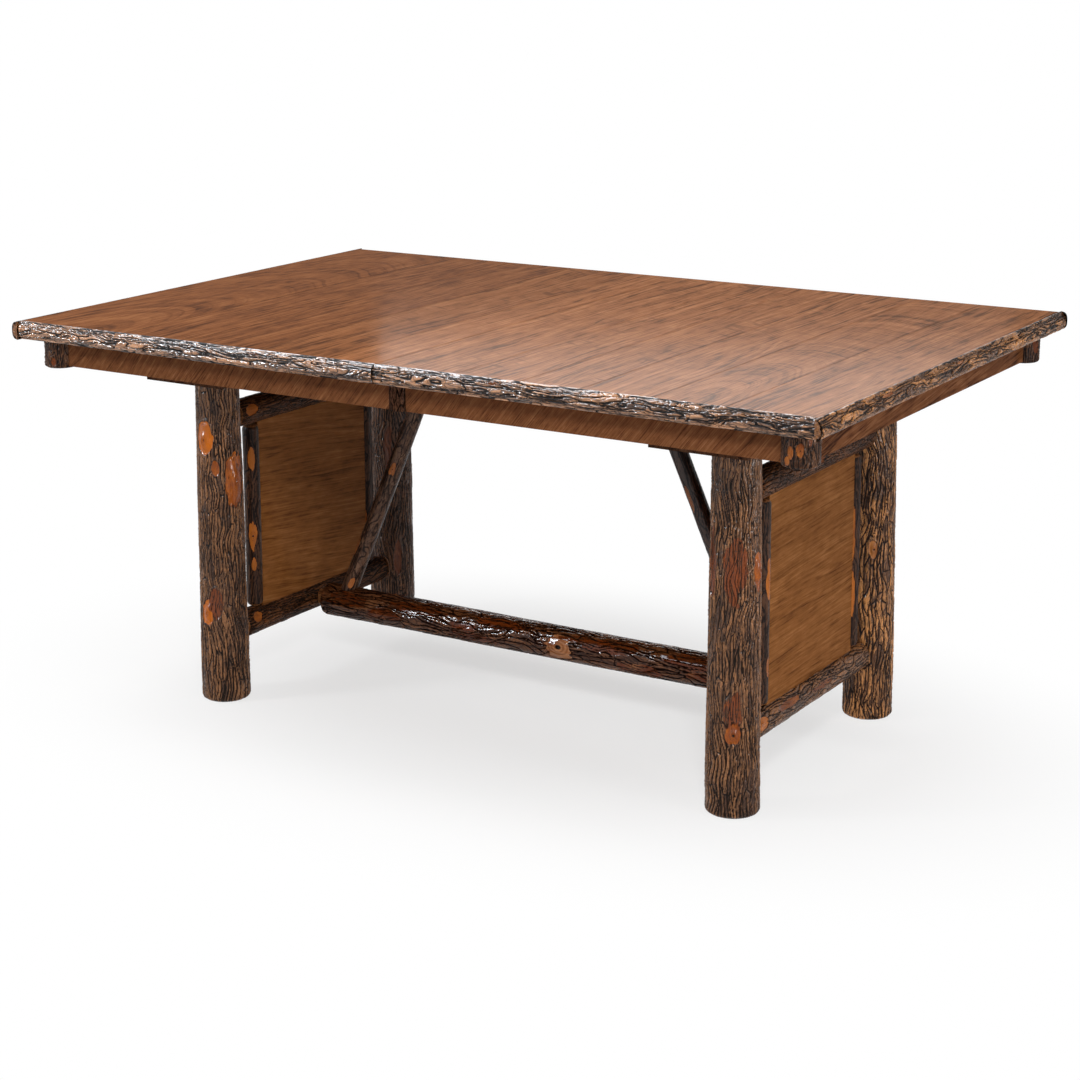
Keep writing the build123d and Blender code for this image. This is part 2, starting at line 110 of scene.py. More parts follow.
def bark(turn, along, girth, plate_width, plate_length, depth, lip, seed, patches):
    """Bark over a log, on arrays of turn (0 to 1 round it) and of metres along it.

    Long plates that sway along the log, with dark cracks between them as wide as their distance in
    metres tells, a finer layer of flakes on top, and lumps. Each patch (degrees, along, half width,
    half length, knot radius, tone) is bare: sunk to the wood, with a ragged edge, and swollen about
    its knot; its tone goes from orange at 0 to red-brown at 1. Returns the height in metres, 0 at
    the tops of the plates and never above the lip, and the marks that the finish reads."""
    columns = max(round(girth / plate_width), 4)
    sway = drift(turn * 4, along / 0.10, 4, seed) + 0.45 * drift(turn * 10, along / 0.032, 10, seed + 1)
    x = turn * columns + 3.2 * sway
    y = along / plate_length + 0.5 * drift(turn * 9, along / 0.05, 9, seed + 2)
    gap, tint = plates(x, y, columns, seed + 3)
    edge = gap / steepness(gap, girth / turn.shape[1], along)
    fine_gap, fine_tint = plates(2 * x, 3.5 * y, 2 * columns, seed + 4)
    fine_edge = fine_gap / steepness(fine_gap, girth / turn.shape[1], along)
    crack = plate_width * (0.16 + 0.30 * drift(turn * 7, along / 0.04, 7, seed + 5))
    ridge = smooth(edge / crack)
    fine = smooth(fine_edge / (0.20 * plate_width))
    rough = drift(turn * columns * 3, along / 0.005, columns * 3, seed + 6)
    lumps = drift(turn * 4, along / 0.11, 4, seed + 7)
    height = depth * (ridge - 1) + depth * ridge * (0.40 * (fine - 1) + 0.45 * (tint - 1))
    height += depth * (0.2 * (rough - 1) + 0.6 * (lumps - 1))
    ridge = ridge * (0.45 + 0.55 * fine)
    tint = 0.6 * tint + 0.4 * fine_tint
    peel = np.zeros(turn.shape)
    knot = np.zeros(turn.shape)
    swell = np.zeros(turn.shape)
    ragged = 0.3 * drift(turn * 40, along / 0.012, 40, seed + 8) - 0.4
    ragged = ragged + 0.5 * drift(turn * 14, along / 0.022, 14, seed + 9)
    for degrees, place, half_width, half_length, knot_radius, tone in patches:
        beside = ((turn - degrees / 360 + 0.5) % 1 - 0.5) * girth
        beyond = along - place
        reach = np.hypot(beside / half_width, beyond / half_length) + ragged
        bare = smooth((1.1 - reach) / 0.18)
        peel = np.maximum(peel, bare)
        tint = tint * (1 - bare) + tone * bare
        swell = np.maximum(swell, 0.5 * depth * smooth((0.3 - np.abs(reach - 1.1)) / 0.3))
        if knot_radius:
            core = np.clip(1 - np.hypot(beside, 0.7 * beyond) / knot_radius, 0, 1)
            knot = np.maximum(knot, core * bare)
            swell = np.maximum(swell, (1.2 * depth + lip) * smooth(1 - reach) * (1 - 0.7 * (core > 0.75)))
    height = height * (1 - peel) + peel * (-1.1 * depth) + swell
    return np.minimum(height, lip), {"ridge": ridge, "tint": tint, "peel": peel, "knot": knot}


def sleeve(name, rings, marks):
    """A closed mesh through rings of points (rows x round x 3), with a point at each end's middle.

    The rings wrap round with their faces outwards where they run counter-clockwise seen from the
    last ring. Each mark is an array of rows x round values, kept as a point attribute."""
    rows, around = rings.shape[:2]
    points = np.concatenate([rings[0].mean(0)[None], rings.reshape(-1, 3), rings[-1].mean(0)[None]])
    number = 1 + np.arange(rows * around).reshape(rows, around)
    turned = np.roll(number, -1, axis=1)
    sides = np.stack([number[:-1], turned[:-1], turned[1:], number[1:]], -1).reshape(-1, 4)
    first = np.stack([np.zeros(around, int), turned[0], number[0]], -1)
    last = np.stack([np.full(around, rows * around + 1), number[-1], turned[-1]], -1)
    corners = np.concatenate([sides.ravel(), first.ravel(), last.ravel()])
    sizes = np.concatenate([np.full(len(sides), 4), np.full(2 * around, 3)])
    mesh = bpy.data.meshes.new(name)
    mesh.vertices.add(len(points))
    mesh.vertices.foreach_set("co", points.ravel())
    mesh.loops.add(len(corners))
    mesh.loops.foreach_set("vertex_index", corners)
    mesh.polygons.add(len(sizes))
    mesh.polygons.foreach_set("loop_start", np.cumsum(sizes) - sizes)
    mesh.update(calc_edges=True)
    mesh.shade_smooth()
    for mark, values in marks.items():
        ends = [values[0].mean()], values.ravel(), [values[-1].mean()]
        layer = mesh.attributes.new(mark, "FLOAT", "POINT")
        layer.data.foreach_set("value", np.concatenate(ends))
    piece = bpy.data.objects.new(name, mesh)
    bpy.context.scene.collection.objects.link(piece)
    return piece


end_ring_radius = 0.002


def rounded_ends(length, radius_a, radius_b, round_a, round_b, pitch):
    """Outline of a log as rows of along and of radius: flat ends, a quarter round at each, and a
    straight side between them. The end ring is the smallest, about the middle point of the end."""
    quarter = np.linspace(0, math.pi / 2, 9)
    along_a = round_a * (1 - np.cos(quarter))
    radius_up = radius_a - round_a * (1 - np.sin(quarter))
    along_b = length - round_b * (1 - np.cos(quarter[::-1]))
    radius_down = radius_b - round_b * (1 - np.sin(quarter[::-1]))
    along = np.concatenate([[0], along_a, along_b, [length]])
    radius = np.concatenate([[end_ring_radius], radius_up, radius_down, [end_ring_radius]])
    return even_rows(along, radius, pitch)


def even_rows(along, radius, pitch):
    """An outline's (along, radius) at even steps of along plus a third of the change of radius."""
    walked = np.concatenate([[0], np.cumsum(np.abs(np.diff(along)) + np.abs(np.diff(radius)) / 3)])
    steps = np.linspace(0, walked[-1], round(walked[-1] / pitch) + 1)
    return np.interp(steps, walked, along), np.interp(steps, walked, radius)


def log(name, start, end, outline, taper, around, style, patches, bow=0.0, cut_above=None):
    """A log from start to end: each row of its outline is a ring about the axis, moved out by the
    bark's height where the row is near the log's full radius, which tapers between two. style is
    the width and length of a plate of bark, its depth, its lip and its seed. The axis bows
    sideways by a half sine wave. Nothing stands above cut_above."""
    start, end = np.array(start, float), np.array(end, float)
    axis = (end - start) / np.linalg.norm(end - start)
    side = np.array([1.0, 0, 0]) if abs(axis[2]) > 0.9 else np.array([0, 0, 1.0])
    side -= axis * (side @ axis)
    side /= np.linalg.norm(side)
    other = np.cross(axis, side)
    along, radius = outline
    full = np.interp(along, (0, along[-1]), taper)
    turn, place = np.meshgrid(np.arange(around) / around, along)
    height, marks = bark(turn, place, 2 * math.pi * max(taper), *style, patches)
    cover = smooth((radius / full - 0.80) / 0.12)[:, None] * np.ones(around)
    reach = radius[:, None] + height * cover
    angle = 2 * math.pi * turn
    middle = bow * np.sin(math.pi * place / along[-1])
    rings = start + place[..., None] * axis + middle[..., None] * other
    rings = rings + (reach * np.cos(angle))[..., None] * side + (reach * np.sin(angle))[..., None] * other
    if cut_above is not None:
        rings[..., 2] = np.minimum(rings[..., 2], cut_above)
    marks["sawn"] = 1 - cover
    return sleeve(name, rings, marks)


class Flow:
    """What flows out of a node's socket: arithmetic on it adds Math nodes."""

    def __init__(self, finish, socket):
        self.finish = finish
        self.socket = socket

    def math(self, operation, first, second):
        return self.finish.node("ShaderNodeMath", {"operation": operation}, {0: first, 1: second})

    def __add__(self, other):
        return self.math("ADD", self, other)

    def __radd__(self, other):
        return self.math("ADD", other, self)

    def __sub__(self, other):
        return self.math("SUBTRACT", self, other)

    def __rsub__(self, other):
        return self.math("SUBTRACT", other, self)

    def __mul__(self, other):
        return self.math("MULTIPLY", self, other)

    def __rmul__(self, other):
        return self.math("MULTIPLY", other, self)


class Finish:
    """The nodes of a material or a world: node() adds any node, and the others name common ones."""

    def __init__(self, owner):
        self.owner = owner
        owner.use_nodes = True
        self.tree = owner.node_tree
        self.tree.nodes.clear()

    def node(self, kind, settings, inputs, output=0):
        """A node of a type: its settings first, then the values or links of its sockets."""
        made = self.tree.nodes.new(kind)
        for setting, value in settings.items():
            setattr(made, setting, value)
        for socket, value in inputs.items():
            if isinstance(value, Flow):
                self.tree.links.new(value.socket, made.inputs[socket])
            else:
                made.inputs[socket].default_value = value
        return Flow(self, made.outputs[output]) if made.outputs else None

    def mark(self, name):
        """A point attribute of the piece, as a number."""
        return self.node("ShaderNodeAttribute", {"attribute_name": name}, {}, "Fac")

    def place(self, scale):
        """Object coordinates, scaled along each axis."""
        where = self.node("ShaderNodeTexCoord", {}, {}, "Object")
        return self.node("ShaderNodeVectorMath", {"operation": "MULTIPLY"}, {0: where, 1: scale})

    def noise(self, scale, detail, distortion=0.0):
        """Noise from 0 to 1 about 0.5, with so many features a metre along each axis."""
        sockets = {"Vector": self.place(scale), "Scale": 1.0, "Detail": detail}
        return self.node("ShaderNodeTexNoise", {}, {**sockets, "Distortion": distortion})

    def ease(self, value, low, high):
        """0 below low, 1 above high, and a smooth step between."""
        sockets = {"Value": value, "From Min": low, "From Max": high}
        return self.node("ShaderNodeMapRange", {"interpolation_type": "SMOOTHSTEP"}, sockets)

    def blend(self, share, first, second):
        """The first colour going over to the second as the share goes from 0 to 1."""
        pair = [(*c, 1.0) if isinstance(c, tuple) else c for c in (first, second)]
        return self.node("ShaderNodeMix", {"data_type": "RGBA"}, {0: share, 6: pair[0], 7: pair[1]}, 2)

    def seen(self):
        """1 for what is seen, straight, in a gloss or through glass, and 0 for what lights the pieces."""
        share = self.node("ShaderNodeLightPath", {}, {}, "Is Camera Ray")
        for ray in ("Is Glossy Ray", "Is Transmission Ray"):
            other = self.node("ShaderNodeLightPath", {}, {}, ray)
            share = self.node("ShaderNodeMath", {"operation": "MAXIMUM"}, {0: share, 1: other})
        return share

    def cover(self, colour, roughness, height, strength, distance, gloss=0.5, coat=0.0, coat_roughness=0.1):
        """Ends the material: a surface with this colour and roughness, bumped by the height, with
        the specular level gloss and a clear coat."""
        bump = {"Height": height, "Strength": strength, "Distance": distance}
        normal = self.node("ShaderNodeBump", {}, bump)
        sockets = {"Base Color": colour, "Roughness": roughness, "Normal": normal}
        sockets |= {"Specular IOR Level": gloss, "Coat Weight": coat, "Coat Roughness": coat_roughness}
        surface = self.node("ShaderNodeBsdfPrincipled", {}, sockets)
        self.node("ShaderNodeOutputMaterial", {}, {"Surface": surface})
        return self.owner


def bark_finish(
    name, axis, cell, crack, dark, light, bare, stained, flake=(0.25, 0.85), rough=0.45,
    varnish=(0.10, 0.45),
):
    """Varnished bark: flakes between two browns, streaky bare wood, and cracks near black.

    The crack colour in the cracks is partly the bark's own darker inner colour and partly painted
    shade, and the dark rim round each bare patch is painted shadow at the edge of the bark. axis
    is the log's own direction, along which flakes and grain are stretched. cell is the width and
    length of a flake. flake is the range of tint over which one goes from dark to light. rough is
    how deep the fine cracks go, in bump and in painted shade, and varnish the specular level and
    clear coat."""
    finish = Finish(bpy.data.materials.new(name))
    width, length = cell
    grain = tuple(55.0 if step == axis else 620.0 for step in "XYZ")
    streak = tuple(20.0 if step == axis else 230.0 for step in "XYZ")
    fine = finish.noise(grain, 4.0, distortion=0.5)
    broad = finish.noise((22.0, 22.0, 22.0), 3.0)
    streaks = finish.noise(streak, 3.0, distortion=0.6)
    flakes = finish.place(tuple(1 / length if step == axis else 1 / width for step in "XYZ"))
    bend = finish.place(tuple(0.9 / length if step == axis else 0.35 / width for step in "XYZ"))
    bend = finish.node("ShaderNodeTexNoise", {}, {"Vector": bend, "Scale": 1.0, "Detail": 2.0}, "Color")
    flakes = finish.node(
        "ShaderNodeVectorMath", {"operation": "MULTIPLY_ADD"}, {0: bend, 1: (2.4, 2.4, 2.4), 2: flakes}
    )
    cells = {"Vector": flakes, "Scale": 1.0}
    edge = finish.node("ShaderNodeTexVoronoi", {"feature": "DISTANCE_TO_EDGE"}, cells, "Distance")
    hue = finish.node("ShaderNodeTexVoronoi", {}, cells, "Color")
    hue = finish.node("ShaderNodeSeparateColor", {}, {0: hue})
    ridge, tint = finish.mark("ridge"), finish.mark("tint")
    peel, knot, sawn = finish.mark("peel"), finish.mark("knot"), finish.mark("sawn")
    # Painted shade, partly the bark's own darker inner colour: the ridge term lightens the plate tops, and
    # below, the fine cracks and the mesh's cracks go over to the crack colour.
    lightness = tint * 0.45 + hue * 0.25 + broad * 0.4 + fine * 0.55 + ridge * 0.35
    lightness = finish.ease(lightness - 0.56, *flake)
    colour = finish.blend(lightness, dark, light)
    split = 1 - finish.ease(edge + (fine - 0.5) * 0.16, 0.01, 0.13)
    colour = finish.blend(split * rough, colour, crack)
    colour = finish.blend(finish.ease(ridge + fine * 0.5 - 0.25, 0.12, 0.80), crack, colour)
    wood = finish.blend(finish.ease(streaks * 0.8 + broad * 1.6 + tint - 1.1, 0.1, 0.9), bare, stained)
    wood = finish.blend(finish.ease(fine + streaks * 0.5, 0.80, 0.45) * (0.2 + tint * 0.5), wood, crack)
    ring = finish.node("ShaderNodeMath", {"operation": "SINE"}, {0: knot * 24.0})
    wood = finish.blend(finish.ease(knot, 0.02, 0.2) * (0.3 + ring * 0.25), wood, stained)
    wood = finish.blend(finish.ease(knot, 0.74, 0.86), wood, crack)
    held = (1 - ridge) * tint * 0.5
    bare_share = finish.ease(peel * (1 - tint * 0.35) - held + streaks * 1.1 - 0.55, 0.20, 0.60)
    colour = finish.blend(bare_share, colour, wood)
    # Painted shadow: a dark rim in the crack colour where the edge of the bark meets each bare patch.
    colour = finish.blend(bare_share * (1 - bare_share) * 2.6, colour, crack)
    end_grain = finish.blend(finish.ease(streaks, 0.3, 0.7), (0.10, 0.036, 0.012), (0.28, 0.12, 0.045))
    colour = finish.blend(finish.ease(sawn, 0.35, 0.65), colour, end_grain)
    roughness = 0.52 - ridge * 0.24 - peel * 0.06
    height = finish.ease(edge, 0.0, 0.26) * (1 - peel) * rough + fine * 0.45 + streaks * 0.25
    gloss, coat = varnish
    coat = finish.ease(ridge, 0.25, 0.80) * coat
    return finish.cover(colour, roughness, height, 0.4 + 0.6 * rough, 0.0020, gloss, coat, 0.12)


seed_step = 10
leg_seed = 11
leg_top_radius = 0.0435
leg_top_round = 0.001
foot_round = 0.008
leg_pitch = 0.00165
leg_around = 232
leg_style = (0.0070, 0.065, 0.0028, 0.0030)
flaky_style = (0.0085, 0.050, 0.0026, 0.0010)
leg_patches = {
    "left_front_leg": (
        (270, 0.522, 0.019, 0.032, 0.009, 0.0),
        (352, 0.441, 0.024, 0.052, 0.009, 0.55),
        (297, 0.468, 0.0085, 0.014, 0, 0.4),
        (268, 0.180, 0.015, 0.024, 0.006, 0.1),
        (290, 0.195, 0.013, 0.030, 0, 0.9),
        (140, 0.300, 0.016, 0.040, 0.006, 0.3),
    ),
    "right_front_leg": (
        (294, 0.430, 0.022, 0.060, 0, 0.85),
        (296, 0.180, 0.016, 0.042, 0, 0.9),
        (297, 0.150, 0.016, 0.020, 0.010, 0.50),
        (358, 0.432, 0.011, 0.032, 0.006, 0.5),
        (236, 0.440, 0.012, 0.055, 0, 0.9),
        (120, 0.250, 0.018, 0.045, 0.007, 0.3),
    ),
    "left_back_leg": (
        (298, 0.390, 0.010, 0.050, 0, 0.6),
        (320, 0.150, 0.009, 0.050, 0, 0.6),
        (60, 0.470, 0.016, 0.036, 0.007, 0.3),
    ),
    "right_back_leg": (
        (300, 0.335, 0.010, 0.018, 0.008, 0.3),
        (75, 0.210, 0.018, 0.044, 0.007, 0.3),
    ),
}
grey_bark = bark_finish(
    "grey_ridged_bark", "Z", (0.0065, 0.050), (0.007, 0.003, 0.001), (0.052, 0.019, 0.007),
    (0.310, 0.132, 0.048), (0.520, 0.130, 0.006), (0.170, 0.036, 0.005),
)
# A darker copy of the grey bark: its browns are lowered as painted shade for the left back leg, which stands
# in the table's shadow.
shaded_leg_bark = bark_finish(
    "ridged_bark_with_painted_shade", "Z", (0.0065, 0.050), (0.007, 0.003, 0.001), (0.052, 0.018, 0.007),
    (0.200, 0.080, 0.030), (0.300, 0.080, 0.016), (0.120, 0.030, 0.008),
)
flaky_bark = bark_finish(
    "flaky_bark", "Z", (0.0085, 0.040), (0.008, 0.003, 0.001), (0.095, 0.036, 0.012), (0.580, 0.250, 0.080),
    (0.550, 0.210, 0.055), (0.220, 0.070, 0.018), flake=(0.35, 0.80),
)
leg_finishes = {"left_back_leg": shaded_leg_bark, "right_back_leg": flaky_bark}
for number, (node, patches) in enumerate(leg_patches.items()):
    low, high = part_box(node)
    x, y = (low.x + high.x) / 2, (low.y + high.y) / 2
    foot_radius = (high.x - low.x) / 2
    outline = rounded_ends(high.z, foot_radius, leg_top_radius, foot_round, leg_top_round, leg_pitch)
    style = flaky_style if node == "right_back_leg" else leg_style
    piece = log(
        f"{node}_bark", (x, y, 0), (x, y, high.z), outline, (foot_radius, leg_top_radius), leg_around,
        (*style, leg_seed + seed_step * number), patches,
    )
    piece.data.materials.append(leg_finishes.get(node, grey_bark))
    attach(piece, "base")
    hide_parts(node)


# Crossbars: thinner logs between the legs of each trestle, with rounded shoulders and a round
# tenon at each end. The lower ones carry the stretcher, the upper ones sit close under the top.
crossbar_tenon = 0.0326
crossbar_round = 0.009
crossbar_tenon_radius = 0.014
crossbar_pitch = 0.0018
crossbar_around = 120
crossbar_seed = 61
crossbar_style = (0.0068, 0.050, 0.0018, 0.0004)


def with_tenons(length, radius, tenon, shoulder_round, pitch):
    """Outline of a log with the same tenon at each end, rounded where it steps in to them.

    tenon is the (along, radius) corners of one, from its end to the log's shoulder."""
    corners_along, corners_radius = np.transpose([(0, end_ring_radius), *tenon])
    quarter = np.linspace(0, math.pi / 2, 7)
    half_along = np.concatenate([corners_along, corners_along[-1] + shoulder_round * (1 - np.cos(quarter))])
    half_radius = np.concatenate([corners_radius, radius - shoulder_round * (1 - np.sin(quarter))])
    along = np.concatenate([half_along, length - half_along[::-1]])
    return even_rows(along, np.concatenate([half_radius, half_radius[::-1]]), pitch)


# Two copies of one crossbar bark: the first has its browns lowered as painted shade for the crossbars that
# sit in shadow under the top; the paler second is for the right lower crossbar, which stands in the light.
crossbar_bark = bark_finish(
    "crossbar_bark", "Y", (0.0070, 0.045), (0.007, 0.003, 0.001), (0.036, 0.013, 0.006),
    (0.150, 0.057, 0.021), (0.400, 0.120, 0.022), (0.140, 0.038, 0.010), varnish=(0.03, 0.03),
)
pale_crossbar_bark = bark_finish(
    "pale_crossbar_bark", "Y", (0.0070, 0.045), (0.007, 0.003, 0.001), (0.060, 0.023, 0.009),
    (0.300, 0.125, 0.045), (0.400, 0.120, 0.022), (0.140, 0.038, 0.010), varnish=(0.05, 0.3),
)
crossbar_patches = {
    "left_lower_crossbar": ((60, 0.060, 0.012, 0.012, 0, 0.2),),
    "left_upper_crossbar": ((75, 0.060, 0.012, 0.020, 0, 0.2), (110, 0.330, 0.010, 0.030, 0, 0.5)),
    "right_lower_crossbar": (
        (70, 0.045, 0.013, 0.020, 0.005, 0.2),
        (62, 0.160, 0.006, 0.045, 0, 0.6),
        (75, 0.300, 0.006, 0.045, 0, 0.7),
    ),
    "right_upper_crossbar": ((80, 0.250, 0.008, 0.030, 0, 0.6),),
}
crossbar_end = ((0, crossbar_tenon_radius), (crossbar_tenon, crossbar_tenon_radius))
for number, (node, patches) in enumerate(crossbar_patches.items()):
    low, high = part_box(node)
    x, z, radius = (low.x + high.x) / 2, (low.z + high.z) / 2, (high.x - low.x) / 2
    outline = with_tenons(high.y - low.y, radius, crossbar_end, crossbar_round, crossbar_pitch)
    piece = log(
        f"{node}_bark", (x, low.y, z), (x, high.y, z), outline, (radius, radius), crossbar_around,
        (*crossbar_style, crossbar_seed + seed_step * number), patches,
    )
    piece.data.materials.append(pale_crossbar_bark if node == "right_lower_crossbar" else crossbar_bark)
    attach(piece, "base")
    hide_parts(node)


# Stiles: thin saplings with smooth dark bark, slotted over the two upright edges of each panel.
# They are round at both ends and never quite straight.
stile_round = 0.011
stile_bow = 0.0012
stile_pitch = 0.002
stile_around = 64
stile_seed = 101
stile_style = (0.0080, 0.070, 0.0006, 0.0004)
stile_bark = bark_finish(
    "smooth_sapling_bark", "Z", (0.007, 0.050), (0.006, 0.002, 0.001), (0.022, 0.009, 0.005),
    (0.110, 0.046, 0.022), (0.420, 0.125, 0.020), (0.170, 0.045, 0.012), (0.2, 1.1), 0.25, (0.1, 0.06),
)
stile_patches = {
    "left_front_stile": (
        (312, 0.300, 0.006, 0.024, 0, 0.1),
        (306, 0.145, 0.009, 0.026, 0.009, 0.2),
        (308, 0.085, 0.005, 0.014, 0, 0.2),
    ),
    "left_back_stile": ((280, 0.215, 0.006, 0.030, 0, 0.3), (300, 0.090, 0.005, 0.020, 0, 0.2)),
    "right_front_stile": ((0, 0.225, 0.008, 0.034, 0.005, 0.1), (10, 0.070, 0.006, 0.020, 0, 0.3)),
    "right_back_stile": ((300, 0.225, 0.006, 0.050, 0, 0.1), (310, 0.110, 0.006, 0.040, 0, 0.1)),
}
for number, (node, patches) in enumerate(stile_patches.items()):
    low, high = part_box(node)
    x, y, radius = (low.x + high.x) / 2, (low.y + high.y) / 2, (high.x - low.x) / 2
    outline = rounded_ends(high.z - low.z, radius, radius, stile_round, stile_round, stile_pitch)
    piece = log(
        f"{node}_bark", (x, y, low.z), (x, y, high.z), outline, (radius, radius), stile_around,
        (*stile_style, stile_seed + seed_step * number), patches, bow=stile_bow,
    )
    piece.data.materials.append(stile_bark)
    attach(piece, "base")
    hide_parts(node)


# Stretcher: one long log between the trestles, its bark worn smooth and glossy with a few long
# ridges, and its ends turned down to a short neck and a tenon that goes into a lower crossbar.
stretcher_neck = 0.013
stretcher_neck_radius = 0.022
stretcher_tenon_radius = 0.016
stretcher_tenon = 0.040
stretcher_round = 0.005
stretcher_pitch = 0.0019
stretcher_around = 140
stretcher_seed = 141
stretcher_style = (0.0085, 0.075, 0.0014, 0.0012)
stretcher_patches = (
    (87, 0.620, 0.024, 0.029, 0.022, 0.35),
    (62, 0.120, 0.016, 0.050, 0, 1.0),
    (92, 0.215, 0.012, 0.040, 0, 0.9),
    (50, 0.290, 0.012, 0.070, 0, 1.0),
    (78, 0.400, 0.010, 0.030, 0, 1.0),
    (45, 0.480, 0.012, 0.060, 0, 0.8),
    (112, 0.420, 0.012, 0.060, 0, 1.0),
    (50, 0.720, 0.014, 0.080, 0, 1.0),
    (58, 0.920, 0.018, 0.080, 0, 1.0),
    (112, 0.800, 0.012, 0.050, 0, 0.8),
    (96, 0.955, 0.014, 0.060, 0, 0.9),
    (250, 0.500, 0.013, 0.030, 0.009, 0.4),
)
stretcher_bark = bark_finish(
    "glossy_stretcher_bark", "X", (0.008, 0.060), (0.006, 0.002, 0.001), (0.042, 0.012, 0.004),
    (0.210, 0.080, 0.030), (0.480, 0.210, 0.090), (0.120, 0.024, 0.004), (0.3, 0.95), 0.3, (0.0, 0.5),
)
low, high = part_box("stretcher")
stretcher_z, stretcher_radius = (low.z + high.z) / 2, (high.z - low.z) / 2
stretcher_end = (
    (0, stretcher_tenon_radius),
    (stretcher_tenon, stretcher_tenon_radius),
    (stretcher_tenon + stretcher_neck, stretcher_neck_radius),
)
outline = with_tenons(high.x - low.x, stretcher_radius, stretcher_end, stretcher_round, stretcher_pitch)
piece = log(
    "stretcher_bark", (low.x, 0, stretcher_z), (high.x, 0, stretcher_z), outline,
    (stretcher_radius, stretcher_radius), stretcher_around, (*stretcher_style, stretcher_seed),
    stretcher_patches,
)
piece.data.materials.append(stretcher_bark)
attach(piece, "base")
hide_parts("stretcher")


# Braces: saplings that run up from the stretcher to the bearer under the top. Their feet are
# coped over the stretcher and their heads are cut flat against the bearer.
brace_radius = 0.017
brace_foot_inset = 0.096
brace_head_x = 0.246
brace_sink = 0.012
brace_head_past = 0.014
brace_foot_round = 0.006
brace_head_round = 0.001
brace_bow = 0.002
brace_pitch = 0.002
brace_around = 64
brace_seed = 151
brace_style = (0.0080, 0.070, 0.0008, 0.0008)
brace_finishes = {
    "left_brace": bark_finish(
        "grey_sapling_bark", "Z", (0.007, 0.040), (0.010, 0.004, 0.002), (0.045, 0.021, 0.013),
        (0.190, 0.100, 0.060), (0.400, 0.130, 0.034), (0.200, 0.060, 0.018), (0.2, 0.95), 0.3, (0.15, 0.06),
    ),
    "right_brace": bark_finish(
        "dark_sapling_bark", "Z", (0.007, 0.060), (0.008, 0.003, 0.002), (0.024, 0.009, 0.005),
        (0.080, 0.028, 0.013), (0.380, 0.120, 0.030), (0.200, 0.060, 0.018), (0.2, 1.1), 0.15, (0.2, 0.3),
    ),
}
brace_patches = {
    "left_brace": (
        (284, 0.300, 0.007, 0.015, 0.007, 0.2),
        (200, 0.170, 0.004, 0.035, 0, 0.3),
        (230, 0.110, 0.004, 0.022, 0, 0.3),
        (300, 0.030, 0.006, 0.012, 0, 0.1),
        (215, 0.410, 0.004, 0.022, 0, 0.4),
    ),
    "right_brace": ((250, 0.330, 0.005, 0.030, 0, 0.3), (100, 0.200, 0.006, 0.030, 0.004, 0.3)),
}
bearer_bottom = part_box("centre_bearer")[0].z
low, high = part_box("right_front_leg")
leg_x = (low.x + high.x) / 2
for number, (node, turn) in enumerate((("left_brace", -1), ("right_brace", 1))):
    foot = Vector((turn * (leg_x - brace_foot_inset), 0, stretcher_z + stretcher_radius))
    head = Vector((turn * brace_head_x, 0, bearer_bottom))
    run = (head - foot).normalized()
    foot, head = foot - run * brace_sink, head + run * brace_head_past
    outline = rounded_ends(
        (head - foot).length, brace_radius, brace_radius, brace_foot_round, brace_head_round, brace_pitch
    )
    piece = log(
        f"{node}_bark", foot, head, outline, (brace_radius, brace_radius), brace_around,
        (*brace_style, brace_seed + seed_step * number), brace_patches[node], brace_bow, bearer_bottom,
    )
    piece.data.materials.append(brace_finishes[node])
    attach(piece, "base")
    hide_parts(node)


